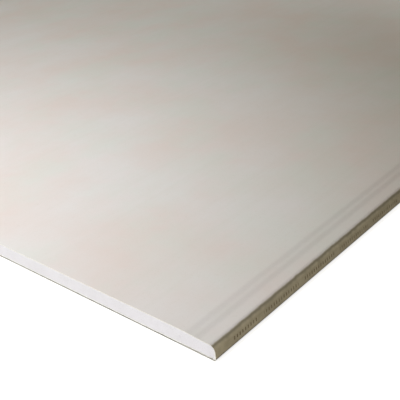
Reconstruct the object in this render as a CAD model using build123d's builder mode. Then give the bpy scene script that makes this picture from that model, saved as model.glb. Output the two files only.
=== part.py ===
from build123d import *
import os

# Drywall sheet: a cast gypsum core between two sheets of paper, lying face up.
# The face paper covers the tapered face, folds round both rounded long edges and
# ends in a flap under each side of the back. The back paper is glued over the flaps.
# Both ends are sawn square, so all the layers show there.
# Millimetres. +X runs across the width, +Y along the length, +Z up through the face,
# and the origin is the centre of the back, which lies on the floor.

# Driving dimensions of the sheet.
length = 2400.0
width = 1200.0
thickness = 12.5
face_paper_thickness = 0.4
back_paper_thickness = 0.4

# Taper along each long edge, from the edge inwards. The face falls in two shallow
# steps that the forming plate leaves, with a narrow land between them.
edge_land_width = 13.0
edge_land_fall = 0.24
outer_step_width = 4.5
outer_step_fall = 0.46
middle_land_width = 2.5
middle_land_fall = 0.04
inner_step_width = 4.5
inner_step_fall = 0.42
shoulder_width = 12.5
shoulder_fall = 0.08
taper_blend_radius = 20.0

# Rounded long edge: a wide round-over above, an upright side and a tight fold below.
edge_top_radius = 4.6
edge_bottom_radius = 1.6

# Laps on the back.
flap_width = 30.0
back_paper_inset = 15.0

# Stations across the taper, from the long edge inwards, and the height of each.
edge_x = width / 2
edge_land_x = edge_x - edge_land_width
outer_step_x = edge_land_x - outer_step_width
middle_land_x = outer_step_x - middle_land_width
inner_step_x = middle_land_x - inner_step_width
shoulder_x = inner_step_x - shoulder_width

face_z = thickness
inner_step_z = face_z - shoulder_fall
middle_land_z = inner_step_z - inner_step_fall
outer_step_z = middle_land_z - middle_land_fall
edge_land_z = outer_step_z - outer_step_fall
edge_z = edge_land_z - edge_land_fall

# The flaps lie on the back paper, and the core lies on both.
flap_underside_z = back_paper_thickness
flap_end_x = edge_x - flap_width
core_tongue_width = 2 * flap_end_x
back_paper_width = width - 2 * back_paper_inset

# Outer section of the face paper, drawn as one half and mirrored.
with BuildSketch(Plane.XZ) as wrap_section:
    with BuildLine() as wrap_outline:
        FilletPolyline(
            (0, face_z),
            (shoulder_x, face_z),
            (inner_step_x, inner_step_z),
            (middle_land_x, middle_land_z),
            (outer_step_x, outer_step_z),
            (edge_land_x, edge_land_z),
            (edge_x, edge_z),
            (edge_x, flap_underside_z),
            (0, flap_underside_z),
            radius=[taper_blend_radius] * 5 + [edge_top_radius, edge_bottom_radius],
        )
        mirror(about=Plane.YZ)
    make_face()

# Core section: the same outline a paper's thickness further in. Between the two
# flaps a wide tongue fills it down to the back paper.
with BuildSketch(Plane.XZ) as core_section:
    add(wrap_section.sketch_local)
    offset(amount=-face_paper_thickness, kind=Kind.INTERSECTION)
    with Locations((0, flap_underside_z)):
        Rectangle(core_tongue_width, face_paper_thickness, align=(Align.CENTER, Align.MIN))

with BuildPart() as gypsum_core:
    extrude(core_section.sketch, amount=length / 2, both=True)

# The face paper is what is left of its outer section round the core.
with BuildSketch(Plane.XZ) as face_paper_section:
    add(wrap_section.sketch_local)
    add(core_section.sketch_local, mode=Mode.SUBTRACT)

with BuildPart() as face_paper:
    extrude(face_paper_section.sketch, amount=length / 2, both=True)

# The back paper stops short of the long edges, so a strip of each flap stays bare.
with BuildPart() as back_paper:
    with BuildSketch(Plane.XY):
        Rectangle(back_paper_width, length)
    extrude(amount=back_paper_thickness)

gypsum_core.part.label = "gypsum_core"
face_paper.part.label = "face_paper"
back_paper.part.label = "back_paper"

os.makedirs("parts", exist_ok=True)
export_step(gypsum_core.part, "parts/gypsum_core.step")
export_step(face_paper.part, "parts/face_paper.step")
export_step(back_paper.part, "parts/back_paper.step")
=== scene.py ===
import math
import bpy
from mathutils import Euler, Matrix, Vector, noise


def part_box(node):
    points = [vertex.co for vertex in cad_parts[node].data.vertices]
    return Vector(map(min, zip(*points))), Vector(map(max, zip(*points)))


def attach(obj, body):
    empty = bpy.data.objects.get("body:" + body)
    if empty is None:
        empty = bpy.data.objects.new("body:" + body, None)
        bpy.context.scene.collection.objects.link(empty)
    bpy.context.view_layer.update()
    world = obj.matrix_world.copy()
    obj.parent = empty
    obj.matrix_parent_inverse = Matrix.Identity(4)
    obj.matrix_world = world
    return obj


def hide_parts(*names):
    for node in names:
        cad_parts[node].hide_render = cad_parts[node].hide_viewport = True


# Drywall sheet lying face up: its paper, its sawn gypsum and its edges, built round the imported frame.
# Metres. +X runs across the sheet, +Y along it and +Z out of its face.

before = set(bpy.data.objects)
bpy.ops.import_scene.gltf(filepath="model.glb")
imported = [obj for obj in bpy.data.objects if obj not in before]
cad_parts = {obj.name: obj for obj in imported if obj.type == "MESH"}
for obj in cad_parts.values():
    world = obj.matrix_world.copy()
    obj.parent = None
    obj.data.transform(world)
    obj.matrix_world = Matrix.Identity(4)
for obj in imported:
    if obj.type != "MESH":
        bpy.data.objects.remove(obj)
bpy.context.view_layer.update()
mm = 0.001
print("frame loaded")


def linearColour(hexCode):
    # sRGB hex to the linear values that Blender's sockets hold
    channels = [int(hexCode[i:i + 2], 16) / 255 for i in (1, 3, 5)]
    return [c / 12.92 if c <= 0.04045 else ((c + 0.055) / 1.055) ** 2.4 for c in channels] + [1.0]


def addNode(tree, kind, settings=None, links=None):
    # settings are sockets, by name or number, or else the node's own properties
    node = tree.nodes.new(kind)
    for key, value in (settings or {}).items():
        if isinstance(key, int) or key in node.inputs:
            node.inputs[key].default_value = value
        else:
            setattr(node, key, value)
    for key, source in (links or {}).items():
        tree.links.new(source, node.inputs[key])
    return node


def newMaterial(name):
    # a fresh material with its shader and output joined, ready for the colour network
    material = bpy.data.materials.new(name)
    material.use_nodes = True
    tree = material.node_tree
    tree.nodes.clear()
    shader = addNode(tree, "ShaderNodeBsdfPrincipled")
    addNode(tree, "ShaderNodeOutputMaterial", links={"Surface": shader.outputs[0]})
    return material, tree, shader


def meshPiece(name, points, faces, materials, faceMaterials=None, sharpAngle=35):
    # a smooth-shaded mesh, sharp where its faces meet at more than sharpAngle degrees
    mesh = bpy.data.meshes.new(name)
    mesh.from_pydata(points, [], faces)
    for material in materials:
        mesh.materials.append(material)
    mesh.polygons.foreach_set("use_smooth", [True] * len(mesh.polygons))
    if faceMaterials:
        mesh.polygons.foreach_set("material_index", faceMaterials)
    mesh.set_sharp_from_angle(angle=math.radians(sharpAngle))
    mesh.validate()
    mesh.update()
    piece = bpy.data.objects.new(name, mesh)
    bpy.context.scene.collection.objects.link(piece)
    return piece


def noiseAt(x, y, z):
    # smooth noise from -1 to 1, with one cell to a unit
    return noise.noise(Vector((x, y, z)))


def upNoiseAt(x, y, z):
    # the same from 0 to 1
    return 0.5 + 0.5 * noiseAt(x, y, z)


# The section that all three pieces share, read from the frame where it can be.
paperLow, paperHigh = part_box("face_paper")
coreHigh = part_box("gypsum_core")[1]
backLow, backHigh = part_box("back_paper")
section = {
    "edge": paperHigh.x,
    "end": paperHigh.y,
    "face": paperHigh.z,
    "flapUnder": paperLow.z,
    "paper": paperHigh.z - coreHigh.z,
    "flapWidth": 30 * mm,
    "roundOver": 4.6 * mm,
    "fold": 1.6 * mm,
    # taper of the face: distance in from the long edge, and depth below the flat, both in mm
    "taper": [(0, 1.24), (13, 1.00), (17.5, 0.54), (20, 0.50), (24.5, 0.08), (37, 0), (60, 0)],
    "taperBlend": 0.8,           # its corners are rounded this many mm to each side
    "levelNormal": 0.9,          # a normal with more z than this, up or down, is on a level stretch
}
taperWidth = section["taper"][-2][0]


def taperDepth(inset):
    # depth of the face below its flat, at a distance in from the long edge; both in mm
    def straight(s):
        for (s0, d0), (s1, d1) in zip(section["taper"], section["taper"][1:]):
            if s <= s1:
                return d0 + (d1 - d0) * (s - s0) / (s1 - s0)
        return 0.0
    # the mean of five points rounds the corners between the straight stretches
    nearby = [inset + k * section["taperBlend"] / 2 for k in (-2, -1, 0, 1, 2)]
    return sum(straight(max(0, s)) for s in nearby) / len(nearby)


# Centres of the round-over and the fold, and where the flaps end.
landSlope = (section["taper"][0][1] - section["taper"][1][1]) / section["taper"][1][0]
topCentreX = section["edge"] - section["roundOver"]
topCentreZ = (section["face"] - section["taper"][0][1] * mm + landSlope * section["roundOver"]
              - section["roundOver"] * math.sqrt(1 + landSlope ** 2))
foldCentreX = section["edge"] - section["fold"]
foldCentreZ = section["flapUnder"] + section["fold"]
flapEnd = section["edge"] - section["flapWidth"]

# How finely the section's line is divided; the last three are in mm.
lineParts = {"flat": 8, "roundOver": 12, "side": 5, "fold": 10, "flap": 4,
             "taperStep": 0.9, "taperStop": 0.3, "slopeReach": 0.2}


def wrapSection():
    # right half of the paper's outer line, from the middle of the face to the flap's end:
    # each entry is x, z and the outward normal
    parts = lineParts
    line = []
    flatEdge = section["edge"] - taperWidth * mm
    for k in range(parts["flat"]):
        line.append((flatEdge * k / parts["flat"], section["face"], 0, 1))
    s = taperWidth
    while s > section["roundOver"] / mm + parts["taperStop"]:
        fall = taperDepth(s - parts["slopeReach"]) - taperDepth(s + parts["slopeReach"])
        tilt = math.atan(fall / (2 * parts["slopeReach"]))
        z = section["face"] - taperDepth(s) * mm
        line.append((section["edge"] - s * mm, z, math.sin(tilt), math.cos(tilt)))
        s -= parts["taperStep"]
    startTilt = math.degrees(math.atan(landSlope))
    for k in range(parts["roundOver"] + 1):
        a = math.radians(startTilt + (90 - startTilt) * k / parts["roundOver"])
        line.append((topCentreX + section["roundOver"] * math.sin(a),
                     topCentreZ + section["roundOver"] * math.cos(a), math.sin(a), math.cos(a)))
    for k in range(1, parts["side"]):
        line.append((section["edge"], topCentreZ + (foldCentreZ - topCentreZ) * k / parts["side"], 1, 0))
    for k in range(parts["fold"] + 1):
        a = math.radians(90 + 90 * k / parts["fold"])
        line.append((foldCentreX + section["fold"] * math.sin(a),
                     foldCentreZ + section["fold"] * math.cos(a), math.sin(a), math.cos(a)))
    for k in range(1, parts["flap"] + 1):
        line.append((foldCentreX + (flapEnd - foldCentreX) * k / parts["flap"], section["flapUnder"], 0, -1))
    return line


# Face paper: one liner that covers the face, rounds both long edges and ends in the flaps.
paperShape = {
    "rowSpacing": 12 * mm,       # rows of vertices along the sheet
    "stepWander": 0.45,          # the taper's steps wander this many mm to each side
    "wanderLength": 70 * mm,
    "wanderStart": 4.9,          # from this many mm in from the long edge, past the round-over
    "edgeDent": 0.10 * mm,       # small dents along the rounded edge, always inwards
    "dentLength": 11 * mm,
    "dentHeight": 4 * mm,
    "dentReach": 4.5,            # up to this many mm in from the long edge
    "cutFray": 0.16 * mm,        # the saw leaves the paper's cut edge a little uneven
    "frayLength": 1.3 * mm,
}


def buildFacePaper(materials):
    shape = paperShape
    half = wrapSection()
    line = [(-x, z, -nx, nz) for x, z, nx, nz in reversed(half[1:])] + half
    count = len(line)
    rows = round(2 * section["end"] / shape["rowSpacing"])
    points, faces, slots = [], [], []
    for row in range(rows + 1):
        y = -section["end"] + 2 * section["end"] * row / rows
        for x, z, nx, nz in line:
            side = 1 if x > 0 else -1
            inset = (section["edge"] - abs(x)) / mm
            if shape["wanderStart"] < inset < taperWidth and nz > section["levelNormal"]:
                wander = shape["stepWander"] * noiseAt(side * 7, y / shape["wanderLength"], 3)
                z = section["face"] - taperDepth(inset + wander) * mm
            dent = 0
            if inset < shape["dentReach"] and nz > -section["levelNormal"]:
                wave = upNoiseAt(side * 5 + z / shape["dentHeight"], y / shape["dentLength"], 8)
                dent = shape["edgeDent"] * wave
            yCut = y
            if row in (0, rows):
                fray = upNoiseAt(x / shape["frayLength"], z / shape["frayLength"], row)
                yCut = y * (1 - shape["cutFray"] / section["end"] * fray)
            points.append((x - dent * nx, yCut, z - dent * nz))
    for row in range(rows):
        for k in range(count - 1):
            a = row * count + k
            faces.append((a, a + count, a + count + 1, a + 1))
            slots.append(0)
    # the inner side is hidden by the core, so it runs from end to end in one row
    inner = len(points)
    for y in (-section["end"], section["end"]):
        for x, z, nx, nz in line:
            atFlapEnd = abs(abs(x) - flapEnd) < 1e-6 and nz < -section["levelNormal"]
            points.append((x if atFlapEnd else x - section["paper"] * nx, y, z - section["paper"] * nz))
    for k in range(count - 1):
        a = inner + k
        faces.append((a + 1, a + count + 1, a + count, a))
        slots.append(0)
    # cut rims at the two ends, and the ends of the flaps
    last = rows * count
    for k in range(count - 1):
        faces.append((k + 1, inner + k + 1, inner + k, k))
        faces.append((last + k, inner + count + k, inner + count + k + 1, last + k + 1))
        slots += [1, 1]
    firstColumn = [row * count for row in range(rows + 1)]
    faces.append([inner] + [inner + count] + firstColumn[::-1])
    lastColumn = [row * count + count - 1 for row in range(rows + 1)]
    faces.append([inner + 2 * count - 1, inner + count - 1] + lastColumn)
    slots += [1, 1]
    return meshPiece("facePaperLiner", points, faces, materials, slots)


# Gypsum core: plain inside, with its sawn ends as a fine grid that carries the saw's texture.
coreShape = {
    "columnSpacing": 1.6 * mm,
    "fineInsets": (0, 0.15, 0.4, 0.8, 1.3, 2.0, 2.8, 3.6, 5.0, 6.5),  # mm, columns at the rounded edges
    "lapHalf": 0.01,             # mm to each side of a flap's end, where the core steps up on to the flap
    "lapClear": 0.5 * mm,        # the even columns keep clear of that step
    "rows": 10,
    "pitDepth": 0.28 * mm,       # the saw tears the set gypsum into shallow pits
    "pitSize": 1.7 * mm,
    "sawDepth": 0.10 * mm,       # and its teeth leave upright scores
    "sawSpacing": 2.6 * mm,
    "sawHeight": 14 * mm,
    "crumble": 0.25 * mm,        # the core breaks back a little where it meets the paper
    "crumbleWidth": 5 * mm,
    "crumbleHeight": 3 * mm,
}


def coreColumnPlaces():
    # places of the columns across a sawn end: even in the middle, close together at the rounded
    # edges, and a pair at each flap's end
    shape = coreShape
    edge = section["edge"] - section["paper"]
    fine = [edge - inset * mm for inset in shape["fineInsets"]]
    evenEdge = fine[-1]
    columns = round(2 * evenEdge / shape["columnSpacing"])
    even = [-evenEdge + 2 * evenEdge * k / columns for k in range(1, columns)]
    even = [x for x in even if abs(abs(x) - flapEnd) > shape["lapClear"]]
    lapShifts = (-shape["lapHalf"] * mm, shape["lapHalf"] * mm)
    laps = [side * (flapEnd + shift) for side in (-1, 1) for shift in lapShifts]
    return sorted([-x for x in fine] + even + laps + fine)


def coreColumn(x):
    # lowest and highest point of the core at x
    x = abs(x)
    inset = (section["edge"] - x) / mm
    inner = section["roundOver"] - section["paper"]
    if x > topCentreX:
        high = topCentreZ + math.sqrt(max(0, inner ** 2 - (x - topCentreX) ** 2))
    else:
        high = section["face"] - taperDepth(inset) * mm - section["paper"]
    innerFold = section["fold"] - section["paper"]
    if x > foldCentreX:
        low = foldCentreZ - math.sqrt(max(0, innerFold ** 2 - (x - foldCentreX) ** 2))
    elif x > flapEnd:
        low = section["flapUnder"] + section["paper"]
    else:
        low = section["flapUnder"]
    return low, high


def sawnDepth(x, z, side, atRim):
    # how far the sawn end lies back from a clean cut
    shape = coreShape
    pit = noiseAt(x / shape["pitSize"], z / shape["pitSize"], side * 9)
    score = upNoiseAt(x / shape["sawSpacing"], z / shape["sawHeight"], side * 4)
    depth = shape["pitDepth"] * max(0, pit) + shape["sawDepth"] * score
    if atRim:
        chip = noiseAt(x / shape["crumbleWidth"], z / shape["crumbleHeight"], side * 2)
        depth += shape["crumble"] * (0.5 + max(0, chip))
    return depth


def buildGypsumCore(material):
    xs = coreColumnPlaces()
    rows = coreShape["rows"]
    points, faces = [], []
    for side in (-1, 1):
        for column, x in enumerate(xs):
            low, high = coreColumn(x)
            for row in range(rows + 1):
                z = low + (high - low) * row / rows
                atRim = row in (0, rows) or column in (0, len(xs) - 1)
                points.append((x, side * (section["end"] - sawnDepth(x, z, side, atRim)), z))
    stride = rows + 1
    ring = len(xs) * stride
    for column in range(len(xs) - 1):
        for row in range(rows):
            a = column * stride + row
            faces.append((a, a + stride, a + stride + 1, a + 1))
            b = ring + a
            faces.append((b + 1, b + stride + 1, b + stride, b))
        bottom = column * stride
        top = bottom + rows
        faces.append((bottom + stride, bottom, ring + bottom, ring + bottom + stride))
        faces.append((top, top + stride, ring + top + stride, ring + top))
    for row in range(rows):
        a = row
        faces.append((a, a + 1, ring + a + 1, ring + a))
        b = (len(xs) - 1) * stride + row
        faces.append((b + 1, b, ring + b, ring + b + 1))
    return meshPiece("gypsumCore", points, faces, [material], sharpAngle=50)


# Back paper: a second liner glued over the flaps, with knife-cut long sides.
backShape = {
    "rowSpacing": 20 * mm,
    "columns": 24,
    "sideWander": 0.5 * mm,      # the knife strays inwards by up to this much
    "wanderLength": 90 * mm,
    "lift": 0.03 * mm,           # faint ripples in the underside
    "rippleLength": 60 * mm,
    "cutFray": 0.25 * mm,
    "frayLength": 4 * mm,
}


def buildBackPaper(material):
    shape = backShape
    low, high = backLow, backHigh
    rows = round((high.y - low.y) / shape["rowSpacing"])
    columns = shape["columns"]
    points, faces = [], []
    for level in (low.z, high.z):
        for row in range(rows + 1):
            y = low.y + (high.y - low.y) * row / rows
            wander = shape["sideWander"] * upNoiseAt(y / shape["wanderLength"], 4, 1)
            for column in range(columns + 1):
                x = low.x + (high.x - low.x) * column / columns
                x -= math.copysign(wander, x) if column in (0, columns) else 0
                fray = shape["cutFray"] * upNoiseAt(x / shape["frayLength"], row, 2)
                yCut = y - math.copysign(fray, y) if row in (0, rows) else y
                ripple = shape["lift"] * upNoiseAt(x / shape["rippleLength"], y / shape["rippleLength"], 5)
                points.append((x, yCut, level + (ripple if level == low.z else 0)))
    stride = columns + 1
    upper = (rows + 1) * stride
    for row in range(rows):
        for column in range(columns):
            a = row * stride + column
            faces.append((a, a + stride, a + stride + 1, a + 1))
            b = a + upper
            faces.append((b + 1, b + stride + 1, b + stride, b))
        for a in (row * stride, row * stride + columns):
            quad = (a, a + upper, a + upper + stride, a + stride)
            faces.append(quad if a % stride == 0 else quad[::-1])
    for column in range(columns):
        a = column
        faces.append((a + 1, a + 1 + upper, a + upper, a))
        b = rows * stride + column
        faces.append((b, b + upper, b + 1 + upper, b + 1))
    return meshPiece("backPaperLiner", points, faces, [material])


# Ivory liner board: several plies of pressed waste paper under a bleached top ply, calendered smooth.
# The eye gets an even, matt warm white with soft clouding, faint streaks along the sheet and fine fibres.
ivoryLiner = {
    "face": "#E4E0DB",
    "rosy": "#E3D8D0",
    "rosySize": 110 * mm,
    "mossy": "#DCE0D6",
    "mossySize": 60 * mm,
    "mossyShare": 0.5,
    "streak": "#DAD6CC",
    "streakWidth": 5 * mm,
    "streakLength": 420 * mm,
    "streakShare": 0.2,
    "fibre": "#CFC8B8",
    "fibreSize": 1.6 * mm,       # real fibres are 0.03 mm wide, too fine to show, so these are coarser
    "fibreShare": 0.35,
    "edge": "#C3B99B",           # round the long edges the paper is browner and darker: partly its own tone, partly painted shade
    "edgeDark": "#B0A68A",
    "patchSize": 7 * mm,
    "edgeStart": 3.8 * mm,       # the browner band, in from the long edge, and how far its border wavers
    "edgeFull": 2.0 * mm,
    "edgeWaver": 1.2 * mm,
    "paintedShadeLine": "#88816C",            # painted shade: a dark line along the round-over, where it turns away from the lamps
    "paintedShadeLinePlace": 2.0 * mm,
    "paintedShadeLineWidth": 1.4 * mm,
    "paintedShadeLineShare": 0.92,
    "paintedFoldShade": "#564E44",         # and a thin one low down along the fold: painted shade, where the sheet meets the floor
    "paintedFoldShadeFull": 1.0 * mm,
    "paintedFoldShadeEnd": 2.4 * mm,
    "paintedFoldShadeShare": 0.9,
    "ink": "#5F4A2C",
    "inkFaint": 0.35,            # share of ink in the worn and in the full places
    "inkFull": 0.85,
    "inkDepth": 1.0 * mm,        # ink lies only on the upright side, this far in at most
    "tickStart": 18 * mm,        # plain production ticks along one edge, from near the corner
    "tickPitch": 2.8 * mm,
    "tickWidth": 1.1 * mm,
    "tickGroup": 46 * mm,
    "tickGap": 7 * mm,
    "tickLow": 4.6 * mm,
    "tickHigh": 7.2 * mm,
    "roughness": 0.62,
    "roughSpread": 0.05,
    "specular": 0.12,
    "bump": 0.35,
    "bumpHeight": 0.03 * mm,
}


def pressedBoardColour(tree, place, fibre):
    # clouding, streaks and fibres of the pressed board
    s = ivoryLiner
    rosy = addNode(tree, "ShaderNodeTexNoise",
                   {"Scale": 1 / s["rosySize"], "Detail": 4.0, "Roughness": 0.6}, {"Vector": place})
    rosyShare = addNode(tree, "ShaderNodeMapRange", {"From Min": 0.35, "From Max": 0.65},
                        {"Value": rosy.outputs[0]})
    # the fourth coordinate sets these clouds apart from the rosy ones
    mossy = addNode(tree, "ShaderNodeTexNoise",
                    {"noise_dimensions": "4D", "Scale": 1 / s["mossySize"], "W": 3.7,
                     "Detail": 4.0, "Roughness": 0.6}, {"Vector": place})
    mossyShare = addNode(tree, "ShaderNodeMapRange",
                         {"From Min": 0.45, "From Max": 0.65, "To Max": s["mossyShare"]},
                         {"Value": mossy.outputs[0]})
    stretch = (1 / s["streakWidth"], 1 / s["streakLength"], 1 / s["streakWidth"])
    drawn = addNode(tree, "ShaderNodeVectorMath", {"operation": "MULTIPLY", 1: stretch}, {0: place})
    streak = addNode(tree, "ShaderNodeTexNoise", {"Scale": 1.0, "Detail": 2.0}, {"Vector": drawn.outputs[0]})
    streakShare = addNode(tree, "ShaderNodeMapRange",
                          {"From Min": 0.45, "From Max": 0.8, "To Max": s["streakShare"]},
                          {"Value": streak.outputs[0]})
    fibreShare = addNode(tree, "ShaderNodeMapRange",
                         {"From Min": 0.56, "From Max": 0.75, "To Max": s["fibreShare"]}, {"Value": fibre})
    flushed = addNode(tree, "ShaderNodeMix",
                      {"data_type": "RGBA", 6: linearColour(s["face"]), 7: linearColour(s["rosy"])},
                      {0: rosyShare.outputs[0]})
    clouded = addNode(tree, "ShaderNodeMix", {"data_type": "RGBA", 7: linearColour(s["mossy"])},
                      {0: mossyShare.outputs[0], 6: flushed.outputs[2]})
    streaked = addNode(tree, "ShaderNodeMix", {"data_type": "RGBA", 7: linearColour(s["streak"])},
                       {0: streakShare.outputs[0], 6: clouded.outputs[2]})
    board = addNode(tree, "ShaderNodeMix", {"data_type": "RGBA", 7: linearColour(s["fibre"])},
                    {0: fibreShare.outputs[0], 6: streaked.outputs[2]})
    return board.outputs[2]


def edgeBandAndPaintedShade(tree, place, across, height, board):
    # the browner band on the rounded long edges, partly painted shade, with an uneven border, a painted shade
    # line along the round-over and painted shade low along the fold
    s = ivoryLiner
    reach = addNode(tree, "ShaderNodeMath", {"operation": "ABSOLUTE"}, {0: across})
    inset = addNode(tree, "ShaderNodeMath", {"operation": "SUBTRACT", 0: section["edge"]},
                    {1: reach.outputs[0]})
    patch = addNode(tree, "ShaderNodeTexNoise", {"Scale": 1 / s["patchSize"], "Detail": 3.0},
                    {"Vector": place})
    waver = addNode(tree, "ShaderNodeMath", {"operation": "MULTIPLY_ADD", 1: s["edgeWaver"]},
                    {0: patch.outputs[0], 2: inset.outputs[0]})
    halfWaver = s["edgeWaver"] / 2
    band = addNode(tree, "ShaderNodeMapRange",
                   {"interpolation_type": "SMOOTHSTEP", "From Min": s["edgeFull"] + halfWaver,
                    "From Max": s["edgeStart"] + halfWaver, "To Min": 1.0, "To Max": 0.0},
                   {"Value": waver.outputs[0]})
    patchShare = addNode(tree, "ShaderNodeMapRange", {"From Min": 0.35, "From Max": 0.7},
                         {"Value": patch.outputs[0]})
    # the band's brown is partly the paper's own tone and partly painted shade on the edge that turns from the
    # lamps
    brown = addNode(tree, "ShaderNodeMix",
                    {"data_type": "RGBA", 6: linearColour(s["edge"]), 7: linearColour(s["edgeDark"])},
                    {0: patchShare.outputs[0]})
    banded = addNode(tree, "ShaderNodeMix", {"data_type": "RGBA"},
                     {0: band.outputs[0], 6: board, 7: brown.outputs[2]})
    # painted shade along the round-over, following the band's wavering border
    offset = addNode(tree, "ShaderNodeMath", {"operation": "SUBTRACT", 1: s["paintedShadeLinePlace"] + halfWaver},
                     {0: waver.outputs[0]})
    away = addNode(tree, "ShaderNodeMath", {"operation": "ABSOLUTE"}, {0: offset.outputs[0]})
    paintedShadeLine = addNode(tree, "ShaderNodeMapRange",
                  {"interpolation_type": "SMOOTHSTEP", "From Max": s["paintedShadeLineWidth"],
                   "To Min": s["paintedShadeLineShare"], "To Max": 0.0}, {"Value": away.outputs[0]})
    shadeLined = addNode(tree, "ShaderNodeMix", {"data_type": "RGBA", 7: linearColour(s["paintedShadeLine"])},
                     {0: paintedShadeLine.outputs[0], 6: banded.outputs[2]})
    # painted shade low along the fold, where the sheet meets the floor
    low = addNode(tree, "ShaderNodeMapRange",
                  {"From Min": s["paintedFoldShadeFull"], "From Max": s["paintedFoldShadeEnd"],
                   "To Min": s["paintedFoldShadeShare"], "To Max": 0.0}, {"Value": height})
    foldShaded = addNode(tree, "ShaderNodeMix", {"data_type": "RGBA", 7: linearColour(s["paintedFoldShade"])},
                      {0: low.outputs[0], 6: shadeLined.outputs[2]})
    return foldShaded.outputs[2]


def tickShare(tree, across, along, height, fibre):
    # plain ticks of brown ink in even groups along one long edge
    s = ivoryLiner
    beat = addNode(tree, "ShaderNodeMath", {"operation": "FLOORED_MODULO", 1: s["tickPitch"]}, {0: along})
    turn = addNode(tree, "ShaderNodeMath", {"operation": "FLOORED_MODULO", 1: s["tickGroup"]}, {0: along})
    limits = (
        ("LESS_THAN", s["tickWidth"], beat.outputs[0]),
        ("LESS_THAN", s["tickGroup"] - s["tickGap"], turn.outputs[0]),
        ("GREATER_THAN", s["tickLow"], height),
        ("LESS_THAN", s["tickHigh"], height),
        ("GREATER_THAN", section["edge"] - s["inkDepth"], across),
        ("GREATER_THAN", s["tickStart"] - section["end"], along),
    )
    ink = addNode(tree, "ShaderNodeMapRange",
                  {"From Min": 0.3, "From Max": 0.6, "To Min": s["inkFaint"], "To Max": s["inkFull"]},
                  {"Value": fibre})
    for test, bound, place in limits:
        limit = addNode(tree, "ShaderNodeMath", {"operation": test, 1: bound}, {0: place})
        ink = addNode(tree, "ShaderNodeMath", {"operation": "MULTIPLY"},
                      {0: ink.outputs[0], 1: limit.outputs[0]})
    return ink.outputs[0]


def ivoryLinerMaterial():
    s = ivoryLiner
    material, tree, shader = newMaterial("ivoryLinerBoard")
    place = addNode(tree, "ShaderNodeTexCoord").outputs["Object"]
    across, along, height = addNode(tree, "ShaderNodeSeparateXYZ", links={0: place}).outputs[:3]
    fibre = addNode(tree, "ShaderNodeTexNoise",
                    {"Scale": 1 / s["fibreSize"], "Detail": 3.0, "Roughness": 0.7, "Distortion": 1.5},
                    {"Vector": place}).outputs[0]
    board = pressedBoardColour(tree, place, fibre)
    edgeAndShade = edgeBandAndPaintedShade(tree, place, across, height, board)
    ticks = tickShare(tree, across, along, height, fibre)
    inked = addNode(tree, "ShaderNodeMix", {"data_type": "RGBA", 7: linearColour(s["ink"])},
                    {0: ticks, 6: edgeAndShade})
    tree.links.new(inked.outputs[2], shader.inputs["Base Color"])
    shader.inputs["Specular IOR Level"].default_value = s["specular"]
    rough = addNode(tree, "ShaderNodeMapRange",
                    {"From Min": 0.3, "From Max": 0.7, "To Min": s["roughness"] - s["roughSpread"],
                     "To Max": s["roughness"] + s["roughSpread"]}, {"Value": fibre})
    tree.links.new(rough.outputs[0], shader.inputs["Roughness"])
    bump = addNode(tree, "ShaderNodeBump", {"Strength": s["bump"], "Distance": s["bumpHeight"]},
                   {"Height": fibre})
    tree.links.new(bump.outputs[0], shader.inputs["Normal"])
    return material


# The liner's cut edge: torn pale fibres of the inner plies, a cream line round the core.
cutPaper = {
    "fibre": "#F7F5F0",
    "shade": "#EAE7E0",
    "fibreSize": 0.7 * mm,
    "roughness": 0.85,
    "specular": 0.2,
    "bump": 0.4,
    "bumpHeight": 0.05 * mm,
}


def cutPaperMaterial():
    s = cutPaper
    material, tree, shader = newMaterial("linerCutEdge")
    place = addNode(tree, "ShaderNodeTexCoord").outputs["Object"]
    fibre = addNode(tree, "ShaderNodeTexNoise", {"Scale": 1 / s["fibreSize"], "Detail": 2.0},
                    {"Vector": place})
    colour = addNode(tree, "ShaderNodeMix",
                     {"data_type": "RGBA", 6: linearColour(s["fibre"]), 7: linearColour(s["shade"])},
                     {0: fibre.outputs[0]})
    tree.links.new(colour.outputs[2], shader.inputs["Base Color"])
    shader.inputs["Roughness"].default_value = s["roughness"]
    shader.inputs["Specular IOR Level"].default_value = s["specular"]
    bump = addNode(tree, "ShaderNodeBump", {"Strength": s["bump"], "Distance": s["bumpHeight"]},
                   {"Height": fibre.outputs[0]})
    tree.links.new(bump.outputs[0], shader.inputs["Normal"])
    return material


# Set gypsum plaster, foamed and sawn: a chalky, slightly cool white with pinholes and pale dust.
sawnGypsum = {
    "plaster": "#E8E6EF",
    "dust": "#E1DFE6",
    "dustSize": 9 * mm,
    "pore": "#CBC8CD",
    "poreSize": 1.1 * mm,        # real bubbles are 0.2 to 1 mm, drawn at the coarse end so that they show
    "poreShare": 0.6,
    "rind": "#F8F7F2",           # denser and creamier where the core set against the paper
    "rindFull": 0.5 * mm,
    "rindEnd": 1.7 * mm,
    "roughness": 0.92,
    "specular": 0.15,
    "bump": 0.5,
    "bumpHeight": 0.08 * mm,
}


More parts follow.
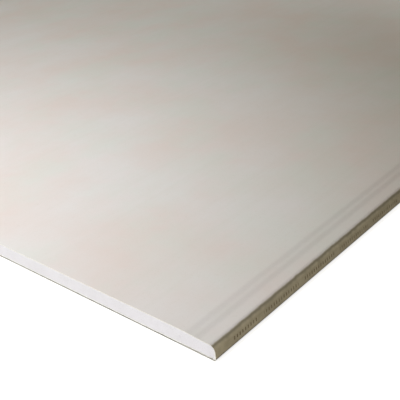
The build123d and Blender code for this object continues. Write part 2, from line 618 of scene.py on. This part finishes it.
def sawnGypsumMaterial():
    s = sawnGypsum
    material, tree, shader = newMaterial("sawnGypsum")
    place = addNode(tree, "ShaderNodeTexCoord").outputs["Object"]
    dust = addNode(tree, "ShaderNodeTexNoise", {"Scale": 1 / s["dustSize"], "Detail": 4.0}, {"Vector": place})
    pore = addNode(tree, "ShaderNodeTexVoronoi", {"Scale": 1 / s["poreSize"]}, {"Vector": place})
    poreMask = addNode(tree, "ShaderNodeMapRange",
                       {"From Min": 0.12, "From Max": 0.3, "To Min": s["poreShare"], "To Max": 0.0},
                       {"Value": pore.outputs["Distance"]})
    base = addNode(tree, "ShaderNodeMix",
                   {"data_type": "RGBA", 6: linearColour(s["plaster"]), 7: linearColour(s["dust"])},
                   {0: dust.outputs[0]})
    colour = addNode(tree, "ShaderNodeMix", {"data_type": "RGBA", 7: linearColour(s["pore"])},
                     {0: poreMask.outputs[0], 6: base.outputs[2]})
    # the rind lies along the round edges and the underside
    axes = addNode(tree, "ShaderNodeSeparateXYZ", links={0: place}).outputs
    reach = addNode(tree, "ShaderNodeMath", {"operation": "ABSOLUTE"}, {0: axes["X"]})
    inset = addNode(tree, "ShaderNodeMath", {"operation": "SUBTRACT", 0: section["edge"]},
                    {1: reach.outputs[0]})
    nearest = addNode(tree, "ShaderNodeMath", {"operation": "MINIMUM"}, {0: inset.outputs[0], 1: axes["Z"]})
    rindShare = addNode(tree, "ShaderNodeMapRange",
                        {"From Min": s["rindFull"], "From Max": s["rindEnd"], "To Min": 1.0, "To Max": 0.0},
                        {"Value": nearest.outputs[0]})
    rinded = addNode(tree, "ShaderNodeMix", {"data_type": "RGBA", 7: linearColour(s["rind"])},
                     {0: rindShare.outputs[0], 6: colour.outputs[2]})
    tree.links.new(rinded.outputs[2], shader.inputs["Base Color"])
    shader.inputs["Roughness"].default_value = s["roughness"]
    shader.inputs["Specular IOR Level"].default_value = s["specular"]
    bump = addNode(tree, "ShaderNodeBump",
                   {"Strength": s["bump"], "Distance": s["bumpHeight"], "invert": True},
                   {"Height": poreMask.outputs[0]})
    tree.links.new(bump.outputs[0], shader.inputs["Normal"])
    return material


# Grey liner board: unbleached waste paper, rougher than the face. A dull grey-brown with dark flecks.
# its grey is kept darker than such board, partly painted shade for the thin dark line under the sawn ends
greyLiner = {
    "board": "#666461",
    "shade": "#5B5956",
    "cloudSize": 30 * mm,
    "fleck": "#454340",
    "fibreSize": 2.2 * mm,       # coarser than real fibres, as on the face
    "roughness": 0.85,
    "specular": 0.2,
    "bump": 0.5,
    "bumpHeight": 0.06 * mm,
}


def greyLinerMaterial():
    s = greyLiner
    material, tree, shader = newMaterial("greyLinerBoard")
    place = addNode(tree, "ShaderNodeTexCoord").outputs["Object"]
    cloud = addNode(tree, "ShaderNodeTexNoise", {"Scale": 1 / s["cloudSize"], "Detail": 3.0},
                    {"Vector": place})
    fibre = addNode(tree, "ShaderNodeTexNoise",
                    {"Scale": 1 / s["fibreSize"], "Detail": 4.0, "Distortion": 1.0}, {"Vector": place})
    fleck = addNode(tree, "ShaderNodeMapRange", {"From Min": 0.6, "From Max": 0.72},
                    {"Value": fibre.outputs[0]})
    base = addNode(tree, "ShaderNodeMix",
                   {"data_type": "RGBA", 6: linearColour(s["board"]), 7: linearColour(s["shade"])},
                   {0: cloud.outputs[0]})
    colour = addNode(tree, "ShaderNodeMix", {"data_type": "RGBA", 7: linearColour(s["fleck"])},
                     {0: fleck.outputs[0], 6: base.outputs[2]})
    tree.links.new(colour.outputs[2], shader.inputs["Base Color"])
    shader.inputs["Roughness"].default_value = s["roughness"]
    shader.inputs["Specular IOR Level"].default_value = s["specular"]
    bump = addNode(tree, "ShaderNodeBump", {"Strength": s["bump"], "Distance": s["bumpHeight"]},
                   {"Height": fibre.outputs[0]})
    tree.links.new(bump.outputs[0], shader.inputs["Normal"])
    return material


liner = ivoryLinerMaterial()
gypsum = sawnGypsumMaterial()
greyBoard = greyLinerMaterial()
print("materials made")

facePaper = buildFacePaper([liner, cutPaperMaterial()])
gypsumCore = buildGypsumCore(gypsum)
backPaper = buildBackPaper(greyBoard)
for piece, node in ((facePaper, "face_paper"), (gypsumCore, "gypsum_core"), (backPaper, "back_paper")):
    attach(piece, "root")
    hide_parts(node)
print("sheet built")


# Stage: a matt white floor that keeps the sheet's shadow, and a plain world.
stage = {
    "size": 30.0,
    "drop": 0.2 * mm,            # the floor lies this far under the sheet
    "albedo": "#CFCCC4",
    "glow": 0.84,                # white that the floor gives the eye by itself, near the sheet
    "fadeStart": 1.6,            # and from here to fadeEnd, in metres from the middle, it rises to full white
    "fadeEnd": 2.6,
    "edgeClear": 0.8 * mm,       # the glow reaches this far in under the long edges,
    "endPaintedShadow": 0.5 * mm,         # starts this far outside the sawn ends,
    "dark": 0.8 * mm,            # and fades out over this width
    "world": "#FFF6E2",
    "worldStrength": 0.18,
}


def seenByEye(tree):
    # 1 for a ray from the camera, also by way of a gloss or glass, and 0 for light on its way to the sheet
    ray = addNode(tree, "ShaderNodeLightPath")
    seen = addNode(tree, "ShaderNodeMath", {"operation": "MAXIMUM"},
                   {0: ray.outputs["Is Camera Ray"], 1: ray.outputs["Is Glossy Ray"]})
    seenToo = addNode(tree, "ShaderNodeMath", {"operation": "MAXIMUM"},
                      {0: seen.outputs[0], 1: ray.outputs["Is Transmission Ray"]})
    return seenToo.outputs[0]


def floorMaterial():
    s = stage
    material = bpy.data.materials.new("whiteFloor")
    material.use_nodes = True
    tree = material.node_tree
    tree.nodes.clear()
    matt = addNode(tree, "ShaderNodeBsdfDiffuse", {"Color": linearColour(s["albedo"])})
    place = addNode(tree, "ShaderNodeTexCoord").outputs["Object"]
    away = addNode(tree, "ShaderNodeVectorMath", {"operation": "LENGTH"}, {0: place})
    fade = addNode(tree, "ShaderNodeMapRange",
                   {"interpolation_type": "SMOOTHSTEP", "From Min": s["fadeStart"],
                    "From Max": s["fadeEnd"], "To Min": s["glow"], "To Max": 1.0},
                   {"Value": away.outputs["Value"]})
    # no glow under the sheet, so that the thin gap below its edges stays dark; in front of the sawn ends the
    # glow also stays low over a thin strip, a painted shadow on the floor
    folded = addNode(tree, "ShaderNodeVectorMath", {"operation": "ABSOLUTE"}, {0: place})
    covered = (section["edge"] - s["edgeClear"], section["end"] + s["endPaintedShadow"], 0)
    beyond = addNode(tree, "ShaderNodeVectorMath", {"operation": "SUBTRACT", 1: covered},
                     {0: folded.outputs[0]})
    sides = addNode(tree, "ShaderNodeSeparateXYZ", links={0: beyond.outputs[0]})
    farther = addNode(tree, "ShaderNodeMath", {"operation": "MAXIMUM"},
                      {0: sides.outputs[0], 1: sides.outputs[1]})
    clear = addNode(tree, "ShaderNodeMapRange", {"From Min": -s["dark"], "From Max": 0.0},
                    {"Value": farther.outputs[0]})
    faded = addNode(tree, "ShaderNodeMath", {"operation": "MULTIPLY"},
                    {0: seenByEye(tree), 1: fade.outputs[0]})
    strength = addNode(tree, "ShaderNodeMath", {"operation": "MULTIPLY"},
                       {0: faded.outputs[0], 1: clear.outputs[0]})
    glow = addNode(tree, "ShaderNodeEmission", {"Color": (1, 1, 1, 1)}, {"Strength": strength.outputs[0]})
    both = addNode(tree, "ShaderNodeAddShader", links={0: matt.outputs[0], 1: glow.outputs[0]})
    addNode(tree, "ShaderNodeOutputMaterial", links={"Surface": both.outputs[0]})
    return material


def buildFloor():
    half = stage["size"] / 2
    corners = [(x * half, y * half, -stage["drop"]) for x, y in ((-1, -1), (1, -1), (1, 1), (-1, 1))]
    floor = meshPiece("floor", corners, [(0, 1, 2, 3)], [floorMaterial()])


def buildWorld():
    world = bpy.data.worlds.new("studio")
    bpy.context.scene.world = world
    world.use_nodes = True
    tree = world.node_tree
    tree.nodes.clear()
    soft = addNode(tree, "ShaderNodeBackground",
                   {"Color": linearColour(stage["world"]), "Strength": stage["worldStrength"]})
    white = addNode(tree, "ShaderNodeBackground", {"Color": (1, 1, 1, 1), "Strength": 1.0})
    pick = addNode(tree, "ShaderNodeMixShader",
                   links={0: seenByEye(tree), 1: soft.outputs[0], 2: white.outputs[0]})
    addNode(tree, "ShaderNodeOutputWorld", links={"Surface": pick.outputs[0]})


# The lamps and the camera are placed from the near corner at +X, a little in from its long edge.
cornerInset = 1 * mm
corner = Vector((section["edge"] - cornerInset, -section["end"], 0))

# Lamps: place and aim in metres, size of the soft box, colour, power in watts and spread in degrees.
# The first three light the near corner. The far ones keep the rest of the sheet from going dark.
lamps = {
    "keyPanel": {"place": (-0.2426, 0.004, 0.8785), "aim": (-1.4025, -1.2435, 0.0125), "size": (0.15, 0.746),
                 "colour": "#F4F5FF", "power": 9.95, "spread": 180},
    "lowPanel": {"place": (-3.5, -2.335, 0.8185), "aim": (-0.210, -3.50, 0.0125), "size": (1.77, 1.04),
                 "colour": "#FCFFF6", "power": 254.0, "spread": 180},
    "sidePanel": {"place": (0.50, -0.714, 0.12), "aim": (-0.06, 0.06, 0.006), "size": (0.4, 0.12),
                  "colour": "#FAF7FF", "power": 1.95, "spread": 180},
    "farPanel": {"place": (-0.60, 1.70, 0.896), "aim": (-0.60, 1.70, 0.0), "size": (1.87, 1.79),
                 "colour": "#F6F8FF", "power": 3.5, "spread": 50},
    "farSidePanel": {"place": (1.5, 1.75, 0.25), "aim": (0.0, 1.75, 0.006), "size": (1.2, 0.3),
                     "colour": "#F6F8FF", "power": 0.62, "spread": 60},
    "farEndPanel": {"place": (-0.60, 3.9, 0.25), "aim": (-0.60, 2.4, 0.006), "size": (1.2, 0.3),
                    "colour": "#F6F8FF", "power": 10.0, "spread": 180},
}


def buildLamps():
    for name, s in lamps.items():
        data = bpy.data.lights.new(name, "AREA")
        data.shape = "RECTANGLE"
        data.size, data.size_y = s["size"]
        data.energy = s["power"]
        data.color = linearColour(s["colour"])[:3]
        data.spread = math.radians(s["spread"])
        lamp = bpy.data.objects.new(name, data)
        bpy.context.scene.collection.objects.link(lamp)
        lamp.location = corner + Vector(s["place"])
        aim = corner + Vector(s["aim"])
        lamp.rotation_euler = (aim - lamp.location).to_track_quat("-Z", "Y").to_euler()
        lamp.visible_camera = False


# Camera: about half a metre from the near corner, looking down across it.
# Angles are in degrees, the lens and the sensor in millimetres.
view = {
    "place": (0.25974, -0.26140, 0.30958),
    "heading": -44.42,
    "down": 28.03,
    "roll": -6.82,
    "lens": 68.46,
    "sensor": 36,
    "nearest": 0.02,
    "farthest": 60,
}


def buildCamera():
    data = bpy.data.cameras.new("camera")
    data.sensor_width = view["sensor"]
    data.sensor_fit = "HORIZONTAL"
    data.lens = view["lens"]
    data.clip_start = view["nearest"]
    data.clip_end = view["farthest"]
    camera = bpy.data.objects.new("camera", data)
    bpy.context.scene.collection.objects.link(camera)
    camera.location = corner + Vector(view["place"])
    turn = Euler((0, 0, math.radians(-view["heading"]))).to_matrix()
    tilt = Euler((math.radians(90 - view["down"]), 0, 0)).to_matrix()
    roll = Euler((0, 0, math.radians(view["roll"]))).to_matrix()
    camera.rotation_euler = (turn @ tilt @ roll).to_euler()
    bpy.context.scene.camera = camera


buildFloor()
buildWorld()
buildLamps()
buildCamera()
bpy.context.scene.view_settings.view_transform = "Standard"
print("stage, lamps and camera set")
